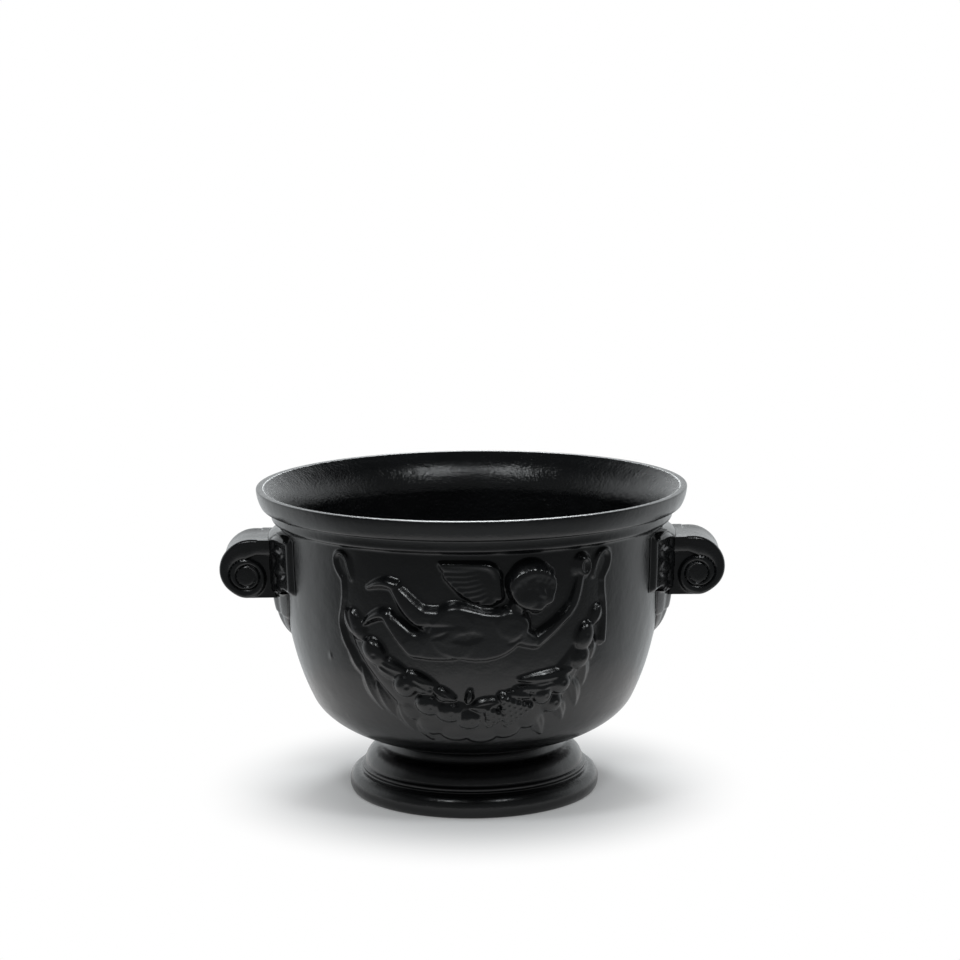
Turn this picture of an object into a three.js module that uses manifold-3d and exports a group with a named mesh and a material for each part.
// Two-handled cast-iron urn planter on a moulded foot.
// Millimetres, +Z up. The origin is on the floor under the middle of the foot, the front faces -Y
// and the handles stand at +X and -X.
//
// The bowl and the foot are turned shapes, held together by one bolt down the middle. Each handle
// is a scroll bracket on an acanthus leaf, screwed on by two bolts from inside the bowl.

import * as THREE from 'three';
import { mergeVertices } from 'three/addons/utils/BufferGeometryUtils.js';
import Module from 'manifold-3d';

const wasm = await Module();
wasm.setup();

// ---------------------------------------------------------------- driving dimensions

// Bowl, heights above its seat on the foot
const RIM_RADIUS = 165;
const BOWL_HEIGHT = 196;
const WALL = 7;
const WALL_TOP_RADIUS = 146.5;   // outside of the wall, just under the neck mouldings
const BELLY_RADIUS = 123.7;      // outside, where the round bottom meets the tall side
const BELLY_RISE = 34;
const COLLAR_RADIUS = 65;        // turned ring that stands on the foot
const COLLAR_HEIGHT = 4.4;
const NECK_DEPTH = 28;           // from the lip down to the plain wall
const NECK_BAND_RADIUS = 153.6;
const FASCIA_FOOT_RADIUS = 161.4;
const LIP_EDGE = 2.2;            // flat on top of the lip
const DRAIN_RADIUS = 6;
const DRAIN_PITCH_RADIUS = 30;

// Foot
const FOOT_HEIGHT = 42;
const FOOT_RADIUS = 94.4;        // at the floor
const FOOT_SWELL = 2.2;          // how far the lowest roll stands out past that
const FOOT_TREAD = 8;            // width of the ring that rests on the floor
const UPPER_ROLL_RADIUS = 84.5;
const FOOT_NECK_RADIUS = 68;
const FOOT_PLATE = 8;

// Handles, measured from the wall and from the eye of the scroll
const HANDLE_DROP = 10;          // top of the scroll below the neck mouldings
const HANDLE_WIDTH = 54;
const FLUTE_DEPTH = 3;           // from the face of the scroll's rim down to its web
const EYE_REACH = 25.6;          // eye of the scroll, out from the wall
const EYE_RADIUS = 7;
// Outer radius and thickness of the scroll's rim at each quarter turn, from the top outwards
const SCROLL_RADII = [28.5, 21.8, 16.5, 16.2, 14.6, 10.4, 7];
const SCROLL_RIMS = [12, 6.6, 6, 6.2, 6, 4.4, 3];
const LEAF_RISE = 10;            // leaf above the wall at its thickest
const LEAF_SPREAD = 23;          // degrees each way round the wall
const LEAF_TOP = 30;             // above the eye of the scroll
const LEAF_FOOT = 24;            // below the eye
const LEAF_HALF_WIDTH = 30;
const LOBE_HALF_WIDTH = 12;
const LOBE_ROOT_PITCH = 9.5;     // from one side lobe to the next, at the root and at the tip
const LOBE_TIP_PITCH = 20.5;
const LOBE_LIFT = 6;             // middle side lobe above the eye
const PENDANT_LENGTH = 52;       // from the eye down to the tip of the hanging leaf
const PENDANT_HALF_WIDTH = 21;

// Relief on the front and the back of the bowl
const RELIEF_SUNK = 2.5;         // how far its forms run into the wall
const RELIEF_WALL_HEIGHT = 164;  // height of plain wall that it is drawn for, and stretched to fit
const LIMB_FULLNESS = 0.85;      // rise of a form for each millimetre of its half width
const BODY_FULLNESS = 0.6;
const SWAG_FULLNESS = 0.14;
const FRUIT_FULLNESS = 0.85;
const GARLAND_LEAF_RISE = 4.5;
const HEAD_RISE = 12;
const HAIR_FULLNESS = 1.6;

// Fasteners
const JOINT_GAP = 0.3;           // between castings that are drawn together
const HANDLE_BOLT = { radius: 4, length: 20, acrossFlats: 13, head: 5.3 };
const HANDLE_BOLT_PITCH = 26;
const CENTRE_BOLT = { radius: 5, length: 35, acrossFlats: 17, head: 6.4 };
const NUT_HEIGHT = 8;
const WASHER_THICKNESS = 1.6;
const WASHER_MARGIN = 1.2;       // washer beyond the bolt head's corners
const SPOT_FACE_MARGIN = 1.5;    // machined seat beyond the washer
const SPOT_FACE_DEPTH = 1;
const HOLE_CLEARANCE = 0.5;      // round a bolt in its hole
const TAP_CLEARANCE = 0.3;       // round a bolt in its tapped hole
const TAP_END = 2;               // tapped hole beyond the bolt's end

// Facets
const BOWL_FACETS = 48;
const FOOT_FACETS = 40;
const BOLT_FACETS = 12;
const ROUND_HOLE_FACETS = 16;
const CURVE_STEPS = 6;           // along a long curve or a quarter turn of the scroll
const INSIDE_STEPS = 4;          // along each curve of the wall's inside
const MOULDING_STEPS = 3;        // along each small curve of a moulding

// ---------------------------------------------------------------- derived heights

const RIM_Z = FOOT_HEIGHT + BOWL_HEIGHT;
const WALL_TOP_Z = RIM_Z - NECK_DEPTH;
const HANDLE_TOP_Z = WALL_TOP_Z - HANDLE_DROP;
const EYE_Z = HANDLE_TOP_Z - SCROLL_RADII[0];
const FLOOR_Z = FOOT_HEIGHT + COLLAR_HEIGHT + WALL;
const CENTRE_SEAT_Z = FLOOR_Z - SPOT_FACE_DEPTH;
const CENTRE_HOLE_RADIUS = CENTRE_BOLT.radius + HOLE_CLEARANCE;
const WALL_FOOT_Z = FOOT_HEIGHT + COLLAR_HEIGHT;

// ---------------------------------------------------------------- solids

const at = (x, y) => new THREE.Vector2(x, y);

// A closed solid from a geometry: shared corners merged, flat triangles dropped, faces outwards.
function solid(geometry) {
  const bare = geometry.clone();
  bare.deleteAttribute('normal');
  bare.deleteAttribute('uv');
  const merged = mergeVertices(bare, 1e-4);
  const points = merged.attributes.position.array;
  const corner = (k) => new THREE.Vector3().fromArray(points, 3 * k);
  const faces = [];
  let volume = 0;
  for (let i = 0; i < merged.index.count; i += 3) {
    const [a, b, c] = [0, 1, 2].map((k) => merged.index.getX(i + k));
    if (a === b || b === c || c === a) continue;
    faces.push(a, b, c);
    volume += corner(a).dot(corner(b).cross(corner(c)));
  }
  if (volume < 0) faces.reverse();
  return new wasm.Manifold(new wasm.Mesh({
    numProp: 3,
    vertProperties: new Float32Array(points),
    triVerts: new Uint32Array(faces),
  }));
}

// A turned solid from its half section, given as [radius, height] points.
function turned(section, facets) {
  return solid(new THREE.LatheGeometry([...section, section[0]], facets).rotateX(Math.PI / 2));
}

// A round bar along Z, from one height to another.
function bar(radius, low, high, facets = BOLT_FACETS) {
  const geometry = new THREE.CylinderGeometry(radius, radius, high - low, facets);
  return solid(geometry.rotateX(Math.PI / 2).translate(0, 0, (low + high) / 2));
}

// An outline drawn in the XZ plane and made solid to both sides of it.
function slab(outline, width) {
  const geometry = new THREE.ExtrudeGeometry(new THREE.Shape(outline), {
    depth: width, bevelEnabled: false, steps: 1,
  });
  return solid(geometry.rotateX(Math.PI / 2).translate(0, width / 2, 0));
}

// A skin over loops of corners that follow each other, closed at both ends.
function loft(loops) {
  const sides = loops[0].length;
  const index = [];
  for (let k = 0; k + 1 < loops.length; k += 1) {
    for (let j = 0; j < sides; j += 1) {
      const [a, b] = [k * sides + j, k * sides + (j + 1) % sides];
      index.push(a, b, b + sides, a, b + sides, a + sides);
    }
  }
  const last = (loops.length - 1) * sides;
  for (let j = 1; j + 1 < sides; j += 1) {
    index.push(0, j + 1, j, last, last + j, last + j + 1);
  }
  const geometry = new THREE.BufferGeometry().setFromPoints(loops.flat());
  geometry.setIndex(index);
  return solid(geometry);
}

function mesh(name, manifold, material) {
  const { vertProperties, triVerts } = manifold.getMesh();
  const geometry = new THREE.BufferGeometry();
  geometry.setAttribute('position', new THREE.BufferAttribute(vertProperties, 3));
  geometry.setIndex(new THREE.BufferAttribute(triVerts, 1));
  const flat = geometry.toNonIndexed();
  flat.computeVertexNormals();
  const part = new THREE.Mesh(flat, material);
  part.name = name;
  return part;
}

// ---------------------------------------------------------------- outline of the bowl

// Outside of the bowl from the collar to the neck: a round bottom, then the tall side.
const belly = at(BELLY_RADIUS, FOOT_HEIGHT + BELLY_RISE);
const slope = at(0, 1).rotateAround(at(0, 0), THREE.MathUtils.degToRad(-26));
const bottomCurve = new THREE.CubicBezierCurve(
  at(COLLAR_RADIUS, FOOT_HEIGHT + COLLAR_HEIGHT),
  at(COLLAR_RADIUS + 8, FOOT_HEIGHT + COLLAR_HEIGHT),
  belly.clone().addScaledVector(slope, -21.5),
  belly,
);
const sideCurve = new THREE.CubicBezierCurve(
  belly,
  belly.clone().addScaledVector(slope, 39.6),
  at(WALL_TOP_RADIUS, WALL_TOP_Z - 60),
  at(WALL_TOP_RADIUS, WALL_TOP_Z),
);

// The wall's outline moved inwards by a distance, or outwards by a negative one.
function wallOutline(distance, steps = CURVE_STEPS) {
  const line = [];
  for (const curve of [bottomCurve, sideCurve]) {
    for (let i = line.length ? 1 : 0; i <= steps; i += 1) {
      const tangent = curve.getTangent(i / steps);
      line.push(curve.getPoint(i / steps).add(at(-tangent.y, tangent.x).multiplyScalar(distance)));
    }
  }
  return line;
}

// Radius of the wall's outline at a height.
function wallRadius(z, distance = 0, steps = CURVE_STEPS) {
  const line = wallOutline(distance, steps);
  const k = Math.max(1, line.findIndex((point) => point.y >= z));
  const [low, high] = [line[k - 1], line[k]];
  return low.x + (high.x - low.x) * (z - low.y) / (high.y - low.y);
}

// A place off the outside of the wall: an angle round the axis from +X, a height and a distance.
function offWall(angle, z, distance) {
  const lean = (wallRadius(z + 1) - wallRadius(z - 1)) / 2;
  const [out, up] = at(1, -lean).normalize().toArray();
  const radius = wallRadius(z) + distance * out;
  return new THREE.Vector3(radius * Math.cos(angle), radius * Math.sin(angle), z + distance * up);
}

// ---------------------------------------------------------------- raised forms on the wall

// Sections of a raised form, as [share of its half width, share of its rise] points
const ROUND_SECTION = [[-1, 0.1], [-0.5, 0.95], [0.5, 0.95], [1, 0.1]];
const RIDGE_SECTION = [[-1, 0.3], [0, 1], [1, 0.3]];
const LEAF_SECTION = [[-1, 0.35], [-0.55, 1], [0, 0.62], [0.55, 1], [1, 0.35]];
const FEATHER_SECTION = [
  [-1, 0.2], [-0.85, 0.8], [-0.62, 0.45], [-0.5, 0.85], [-0.25, 0.5], [-0.12, 0.9], [0.15, 0.5],
  [0.28, 0.9], [0.55, 0.55], [0.78, 1], [1, 0.2],
];

// A form swept over the wall, from stations { round, z, halfWidth, rise }. Round is measured along
// the wall from its middle, which is an angle round the axis. It runs into the wall by a depth.
function raised(middle, stations, section, sunk) {
  const flat = stations.map(({ round, z }) => at(round, z));
  return loft(stations.map(({ halfWidth, rise }, k) => {
    const next = flat[Math.min(k + 1, flat.length - 1)];
    const along = next.clone().sub(flat[Math.max(k - 1, 0)]).normalize();
    const place = (side, lift) => {
      const spot = flat[k].clone().addScaledVector(at(-along.y, along.x), side * halfWidth);
      return offWall(middle + spot.x / wallRadius(spot.y), spot.y, lift);
    };
    return [place(-1, -sunk), ...section.map(([side, share]) => place(side, share * rise)), place(1, -sunk)];
  }));
}

// ---------------------------------------------------------------- relief
//
// A winged child in flight above a swag of leaves and fruit that hangs from two ribbons. Places are
// [across, up] in millimetres: across as seen from the front, up from the wall's foot.

const FRONT = -Math.PI / 2;

function station(across, up, halfWidth, rise) {
  const z = WALL_FOOT_Z + up * (WALL_TOP_Z - WALL_FOOT_Z) / RELIEF_WALL_HEIGHT;
  const radius = wallRadius(z);
  return { round: radius * Math.asin(across / radius), z, halfWidth, rise };
}

// A round tapered form through places [across, up, half width], with rounded ends.
function limb(path, fullness) {
  const stations = path.map(([across, up, halfWidth]) => (
    station(across, up, halfWidth, 1 + fullness * halfWidth)));
  const end = (from, last) => {
    const reach = 0.7 * last.halfWidth / Math.hypot(last.round - from.round, last.z - from.z);
    return {
      round: last.round + (last.round - from.round) * reach,
      z: last.z + (last.z - from.z) * reach,
      halfWidth: last.halfWidth * 0.55,
      rise: last.rise * 0.5,
    };
  };
  const ends = [end(stations[1], stations[0]), end(stations.at(-2), stations.at(-1))];
  return raised(FRONT, [ends[0], ...stations, ends[1]], ROUND_SECTION, RELIEF_SUNK);
}

// An oval mound. Its long half axis leans by some degrees from level.
function mound([across, up], length, halfWidth, lean, rise, steps = 3) {
  const turn = THREE.MathUtils.degToRad(lean);
  const stations = [];
  for (let k = 0; k <= steps; k += 1) {
    const share = -0.97 * Math.cos(Math.PI * k / steps);
    const round = Math.sqrt(1 - share * share);
    stations.push(station(across + share * length * Math.cos(turn), up + share * length * Math.sin(turn),
      halfWidth * round, rise * round));
  }
  return raised(FRONT, stations, ROUND_SECTION, RELIEF_SUNK);
}

// A pointed leaf with a raised midrib.
function leaf([rootX, rootUp], [tipX, tipUp], halfWidth, rise) {
  const stations = [[0, 0.5], [0.45, 1], [1, 0.1]].map(([share, width]) => (
    station(rootX + share * (tipX - rootX), rootUp + share * (tipUp - rootUp), halfWidth * width,
      rise * (1 - 0.5 * share * share))));
  return raised(FRONT, stations, RIDGE_SECTION, RELIEF_SUNK);
}

// The wing spreads from its root behind the shoulder to one tip, with a ridge for each feather.
function wing() {
  const stations = [
    [20, 141, 13, 6], [10, 144, 14.5, 5.5], [-4, 151, 9, 4.5], [-17, 156, 4.5, 3.5], [-26, 159.5, 1, 2],
  ];
  return raised(FRONT, stations.map((values) => station(...values)), FEATHER_SECTION, RELIEF_SUNK);
}

function child() {
  const feet = [[-76, 111, 2], [-72, 139, 2]];
  const nearSide = [
    feet[0], [-61, 118, 3.7], [-41, 100, 7.2], [-20, 105, 12.5], [-3, 107, 15.5], [13, 107, 14],
    [27, 112, 10], [43, 98, 5.2], [65, 115, 4.4], [75, 134, 4], [78, 144, 3.4],
  ];
  return [
    limb(nearSide, BODY_FULLNESS),
    limb([feet[1], [-53, 141, 3.5], [-37, 121, 6.2], [-14, 119, 9.5]], LIMB_FULLNESS),
    limb([[24, 116, 8], [39, 128, 9]], LIMB_FULLNESS),
    limb([[44, 121, 4.6], [62, 115, 3.8]], LIMB_FULLNESS),
    mound([45, 138], 17, 16, 90, HEAD_RISE, 5),
    limb([[31, 134, 5], [33, 147, 6], [45, 153, 6.5], [57, 147, 6], [60, 135, 4]], HAIR_FULLNESS),
    mound([80, 152], 7.5, 6.5, 90, 4.5),
    wing(),
  ];
}

function garland() {
  const swag = [
    [-86, 112, 3], [-77, 92, 6], [-68, 77, 11], [-57, 66, 9], [-45, 53, 14], [-27, 44, 12], [-12, 39, 16],
    [3, 38, 13], [18, 40, 16], [32, 47, 12], [47, 55, 14], [59, 68, 9], [69, 79, 11], [77, 94, 6],
    [85, 112, 3],
  ];
  const fruit = [
    [-80, 104, 7.5, -62], [-70, 89, 9.5, -52], [-48, 66, 9.5, 0], [-28, 52, 9, -20], [2, 43, 8, 0],
    [30, 49, 8.5, 15], [50, 58, 9.5, 0], [68, 76, 10, 50], [81, 98, 9, 66],
  ];
  const leaves = [
    [[-69, 92], [-53, 73]], [[-50, 75], [-31, 60]], [[-20, 48], [-4, 60]], [[28, 54], [12, 60]],
    [[54, 74], [33, 61]], [[72, 94], [55, 77]],
  ];
  return [
    limb(swag, SWAG_FULLNESS),
    ...fruit.map(([across, up, length, lean]) => (
      mound([across, up], length, length * 0.82, lean, length * FRUIT_FULLNESS))),
    ...leaves.map(([root, tip]) => leaf(root, tip, 6, GARLAND_LEAF_RISE)),
  ];
}

function ribbons() {
  return [
    limb([[-97, 158, 1.6], [-93, 140, 1.7], [-92, 110, 2.4], [-89, 84, 3.2]], LIMB_FULLNESS),
    limb([[97, 158, 1.6], [94, 140, 1.7], [95.5, 112, 2.6], [94.5, 95, 3.4]], LIMB_FULLNESS),
  ];
}

// ---------------------------------------------------------------- bowl

function bowlSection() {
  const fasciaLow = WALL_TOP_Z + 14.6;
  const neck = new THREE.Path();
  neck.moveTo(WALL_TOP_RADIUS, WALL_TOP_Z);
  neck.lineTo(WALL_TOP_RADIUS + 0.6, WALL_TOP_Z + 2);
  neck.quadraticCurveTo(NECK_BAND_RADIUS - 0.4, WALL_TOP_Z + 2.6, NECK_BAND_RADIUS, WALL_TOP_Z + 5.6);
  neck.quadraticCurveTo(NECK_BAND_RADIUS + 0.2, WALL_TOP_Z + 11, NECK_BAND_RADIUS + 1.2, WALL_TOP_Z + 11.8);
  neck.quadraticCurveTo(FASCIA_FOOT_RADIUS - 1, WALL_TOP_Z + 12.6, FASCIA_FOOT_RADIUS, fasciaLow);
  neck.lineTo(RIM_RADIUS, RIM_Z - 1.4);
  neck.quadraticCurveTo(RIM_RADIUS, RIM_Z, RIM_RADIUS - 1.2, RIM_Z);
  neck.lineTo(RIM_RADIUS - LIP_EDGE, RIM_Z - 0.3);
  const throat = WALL_TOP_RADIUS - WALL;
  neck.bezierCurveTo(
    RIM_RADIUS - 10, RIM_Z - 6, throat + 3, WALL_TOP_Z + 16, throat, WALL_TOP_Z,
  );
  const seatRadius = washerRadius(CENTRE_BOLT) + SPOT_FACE_MARGIN;
  return [
    at(CENTRE_HOLE_RADIUS, FOOT_HEIGHT),
    at(COLLAR_RADIUS - 2, FOOT_HEIGHT),
    at(COLLAR_RADIUS - 2, FOOT_HEIGHT + COLLAR_HEIGHT - 1.6),
    ...wallOutline(0).slice(0, -1),
    ...neck.getPoints(MOULDING_STEPS),
    ...wallOutline(WALL, INSIDE_STEPS).reverse().slice(1),
    at(seatRadius, FLOOR_Z),
    at(seatRadius, CENTRE_SEAT_Z),
    at(CENTRE_HOLE_RADIUS, CENTRE_SEAT_Z),
  ];
}

const drainHoles = [1, -1].map((side) => (
  bar(DRAIN_RADIUS, 0, RIM_Z).translate([side * DRAIN_PITCH_RADIUS, 0, 0])));

// The bolt seats inside the wall, for the handle at +X.
const handleBolts = [1, -1].map((side) => {
  const z = EYE_Z + HANDLE_BOLT.radius + 2 + side * HANDLE_BOLT_PITCH / 2;
  return { z, seat: wallRadius(z, WALL, INSIDE_STEPS) + SPOT_FACE_DEPTH };
});

const bothSides = (manifold) => manifold.add(manifold.rotate([0, 0, 180]));

function buildBowl() {
  let bowl = turned(bowlSection(), BOWL_FACETS);
  for (const hole of drainHoles) bowl = bowl.subtract(hole);
  for (const { z, seat } of handleBolts) {
    const hole = bar(HANDLE_BOLT.radius + HOLE_CLEARANCE, seat - WALL, seat + 2 * WALL);
    const spot = bar(washerRadius(HANDLE_BOLT) + SPOT_FACE_MARGIN, seat - 2 * WALL, seat, ROUND_HOLE_FACETS);
    bowl = bowl.subtract(bothSides(alongX(hole.add(spot), z)));
  }
  const relief = [...child(), ...garland(), ...ribbons()].reduce((all, form) => all.add(form));
  return bowl.add(bothSides(relief));
}

// ---------------------------------------------------------------- foot

function footSection() {
  const rollTop = FOOT_HEIGHT * 0.36;
  const quirk = UPPER_ROLL_RADIUS + 2.2;
  const outside = new THREE.Path();
  outside.moveTo(FOOT_RADIUS, 0);
  outside.bezierCurveTo(
    FOOT_RADIUS + FOOT_SWELL * 1.35, 3.5, FOOT_RADIUS + FOOT_SWELL * 1.4, 11.5,
    FOOT_RADIUS - 1.4, rollTop - 0.4,
  );
  outside.quadraticCurveTo(FOOT_RADIUS - 3, rollTop + 0.8, quirk + 1, rollTop + 0.9);
  outside.lineTo(quirk - 0.6, rollTop + 2.2);
  outside.lineTo(quirk, rollTop + 2.9);
  outside.lineTo(quirk, rollTop + 5.3);
  outside.lineTo(UPPER_ROLL_RADIUS, rollTop + 6.1);
  outside.bezierCurveTo(
    UPPER_ROLL_RADIUS + 0.2, rollTop + 9.4, UPPER_ROLL_RADIUS - 2.4, rollTop + 16,
    FOOT_NECK_RADIUS + 8.5, FOOT_HEIGHT - 9,
  );
  outside.lineTo(FOOT_NECK_RADIUS + 4, FOOT_HEIGHT - 8.4);
  outside.quadraticCurveTo(FOOT_NECK_RADIUS, FOOT_HEIGHT - 7.6, FOOT_NECK_RADIUS, FOOT_HEIGHT - 3);
  outside.lineTo(FOOT_NECK_RADIUS - 1, FOOT_HEIGHT);
  const inside = new THREE.Path();
  inside.moveTo(CENTRE_HOLE_RADIUS, FOOT_HEIGHT - FOOT_PLATE);
  inside.lineTo(FOOT_NECK_RADIUS - 12, FOOT_HEIGHT - FOOT_PLATE);
  inside.bezierCurveTo(
    FOOT_NECK_RADIUS - 2, FOOT_HEIGHT - FOOT_PLATE, UPPER_ROLL_RADIUS - 9, rollTop + 10,
    FOOT_RADIUS - FOOT_TREAD - 1.5, 9,
  );
  inside.lineTo(FOOT_RADIUS - FOOT_TREAD, 0);
  return [
    ...outside.getPoints(MOULDING_STEPS),
    at(CENTRE_HOLE_RADIUS, FOOT_HEIGHT),
    ...inside.getPoints(CURVE_STEPS),
  ];
}

function buildFoot() {
  return drainHoles.reduce((foot, hole) => foot.subtract(hole), turned(footSection(), FOOT_FACETS));
}

// ---------------------------------------------------------------- handles

// A value given at each quarter turn, read smoothly at any number of turns.
function atTurn(values, turns) {
  const curve = new THREE.SplineCurve(values.map((value, k) => at(k, value)));
  return curve.getPoint(Math.min(1, turns * 4 / (values.length - 1))).y;
}

// A point of the scroll in the XZ plane, at a number of turns from its top and a radius.
function scrollPoint(turns, radius) {
  const angle = Math.PI / 2 - 2 * Math.PI * turns;
  const eyeX = WALL_TOP_RADIUS + EYE_REACH;
  return at(eyeX + radius * Math.cos(angle), EYE_Z + radius * Math.sin(angle));
}

// The scroll: a rim that leaves the wall level, rolls out, down and under, and winds in to a flat
// eye, standing proud of the web between its turns on both faces.
function buildScroll() {
  const stepsPerTurn = 4 * CURVE_STEPS;
  const turns = (SCROLL_RADII.length - 1) / 4;
  const root = wallRadius(HANDLE_TOP_Z) - WALL;
  const outer = [];
  const inner = [];
  for (let i = 0; i <= turns * stepsPerTurn; i += 1) {
    const turn = i / stepsPerTurn;
    const radius = atTurn(SCROLL_RADII, turn);
    outer.push(scrollPoint(turn, radius));
    inner.push(scrollPoint(turn, radius - atTurn(SCROLL_RIMS, turn)));
  }
  const rim = [
    at(root, HANDLE_TOP_Z), ...outer, ...inner.reverse(), at(root, HANDLE_TOP_Z - SCROLL_RIMS[0]),
  ];
  const under = scrollPoint(0.5, SCROLL_RADII[2]);
  const web = [
    at(root, HANDLE_TOP_Z), ...outer.slice(0, stepsPerTurn / 2), under, at(root, under.y),
  ];
  const eyeX = WALL_TOP_RADIUS + EYE_REACH;
  const eye = bar(EYE_RADIUS, -HANDLE_WIDTH / 2, HANDLE_WIDTH / 2, ROUND_HOLE_FACETS)
    .rotate([90, 0, 0]).translate([eyeX, 0, EYE_Z]);
  return slab(rim, HANDLE_WIDTH).add(slab(web, HANDLE_WIDTH - 2 * FLUTE_DEPTH)).add(eye);
}

// One lobe of the leaf, laid on the wall from its root to its rounded tip. Places are [degrees round
// the wall from the middle of the handle, height above the eye].
function lobe({ root, tip, halfWidth, rise }) {
  const sections = 5;
  const arc = THREE.MathUtils.degToRad(1) * WALL_TOP_RADIUS;
  const stations = [];
  for (let k = 0; k <= sections; k += 1) {
    const share = k / sections;
    stations.push({
      round: arc * (root[0] + share * (tip[0] - root[0])),
      z: EYE_Z + root[1] + share * (tip[1] - root[1]),
      halfWidth: halfWidth * Math.max(0.12, Math.sqrt(1 - share ** 3)),
      rise: rise * (1 - 0.6 * share ** 3),
    });
  }
  return raised(0, stations, LEAF_SECTION, WALL / 2);
}

function buildHandle() {
  const lobes = [
    { root: [0, LEAF_TOP], tip: [0, -LEAF_FOOT], halfWidth: LEAF_HALF_WIDTH, rise: LEAF_RISE },
    { root: [0, -LEAF_FOOT / 2], tip: [0, -PENDANT_LENGTH], halfWidth: PENDANT_HALF_WIDTH, rise: LEAF_RISE },
  ];
  for (const side of [1, -1]) {
    for (const row of [1, 0, -1]) {
      const spread = side * LEAF_SPREAD * (row === 0 ? 1 : 0.92);
      lobes.push({
        root: [spread * 0.22, LOBE_LIFT + row * LOBE_ROOT_PITCH],
        tip: [spread, LOBE_LIFT + row * LOBE_TIP_PITCH],
        halfWidth: LOBE_HALF_WIDTH,
        rise: LEAF_RISE * (row === 0 ? 1.3 : 1.2),
      });
    }
  }
  let handle = buildScroll();
  for (const shape of lobes) handle = handle.add(lobe(shape));
  const wall = wallOutline(-JOINT_GAP);
  const bowlSpace = [at(0, wall[0].y), ...wall, at(0, WALL_TOP_Z)];
  handle = handle.subtract(turned(bowlSpace, BOWL_FACETS));
  for (const { z, seat } of handleBolts) {
    const end = seat - WASHER_THICKNESS + HANDLE_BOLT.length + TAP_END;
    handle = handle.subtract(alongX(bar(HANDLE_BOLT.radius + TAP_CLEARANCE, seat, end), z));
  }
  return handle;
}

// ---------------------------------------------------------------- fasteners

// Turns a piece built along +Z to lie along +X at a height.
function alongX(manifold, z) {
  return manifold.rotate([0, 90, 0]).translate([0, 0, z]);
}

function washerRadius(bolt) {
  return bolt.acrossFlats / Math.sqrt(3) + WASHER_MARGIN;
}

// A hexagon bolt whose shank points up +Z from under its head.
function hexBolt(bolt, underHead) {
  const head = bar(bolt.acrossFlats / Math.sqrt(3), underHead - bolt.head, underHead, 6);
  return head.add(bar(bolt.radius, underHead - bolt.head / 2, underHead + bolt.length));
}

function washer(bolt, low) {
  const [inner, outer, high] = [bolt.radius + TAP_CLEARANCE, washerRadius(bolt), low + WASHER_THICKNESS];
  return turned([at(inner, low), at(outer, low), at(outer, high), at(inner, high)], ROUND_HOLE_FACETS);
}

function nut(bolt, low) {
  const body = bar(bolt.acrossFlats / Math.sqrt(3), low, low + NUT_HEIGHT, 6);
  return body.subtract(bar(bolt.radius + TAP_CLEARANCE, low - 1, low + NUT_HEIGHT + 1));
}

// ---------------------------------------------------------------- the assembly

const blackIron = new THREE.MeshStandardMaterial({ color: 0x16181a, roughness: 0.28, metalness: 0 });
const zincSteel = new THREE.MeshStandardMaterial({ color: 0x9a9c9e, roughness: 0.4, metalness: 1 });

const urn = new THREE.Group();
urn.add(mesh('bowl', buildBowl(), blackIron));
urn.add(mesh('foot', buildFoot(), blackIron));

const handleShape = buildHandle();
for (const [name, turn] of [['right', 0], ['left', Math.PI]]) {
  const group = new THREE.Group();
  group.rotation.z = turn;
  group.add(mesh(`${name}_handle`, handleShape, blackIron));
  handleBolts.forEach(({ z, seat }, k) => {
    const place = k === 0 ? 'upper' : 'lower';
    const bolt = hexBolt(HANDLE_BOLT, seat - WASHER_THICKNESS);
    const ring = washer(HANDLE_BOLT, seat - WASHER_THICKNESS);
    group.add(mesh(`${name}_handle_bolt_${place}`, alongX(bolt, z), zincSteel));
    group.add(mesh(`${name}_handle_washer_${place}`, alongX(ring, z), zincSteel));
  });
  urn.add(group);
}

// The centre bolt hangs head up in the bowl, its nut pulls up under the foot's plate.
const plateUnderside = FOOT_HEIGHT - FOOT_PLATE;
const centreBolt = hexBolt(CENTRE_BOLT, 0).rotate([180, 0, 0])
  .translate([0, 0, CENTRE_SEAT_Z + WASHER_THICKNESS]);
urn.add(mesh('centre_bolt', centreBolt, zincSteel));
urn.add(mesh('centre_washer_upper', washer(CENTRE_BOLT, CENTRE_SEAT_Z), zincSteel));
urn.add(mesh('centre_washer_lower', washer(CENTRE_BOLT, plateUnderside - WASHER_THICKNESS), zincSteel));
urn.add(mesh('centre_nut', nut(CENTRE_BOLT, plateUnderside - WASHER_THICKNESS - NUT_HEIGHT), zincSteel));

export default urn;
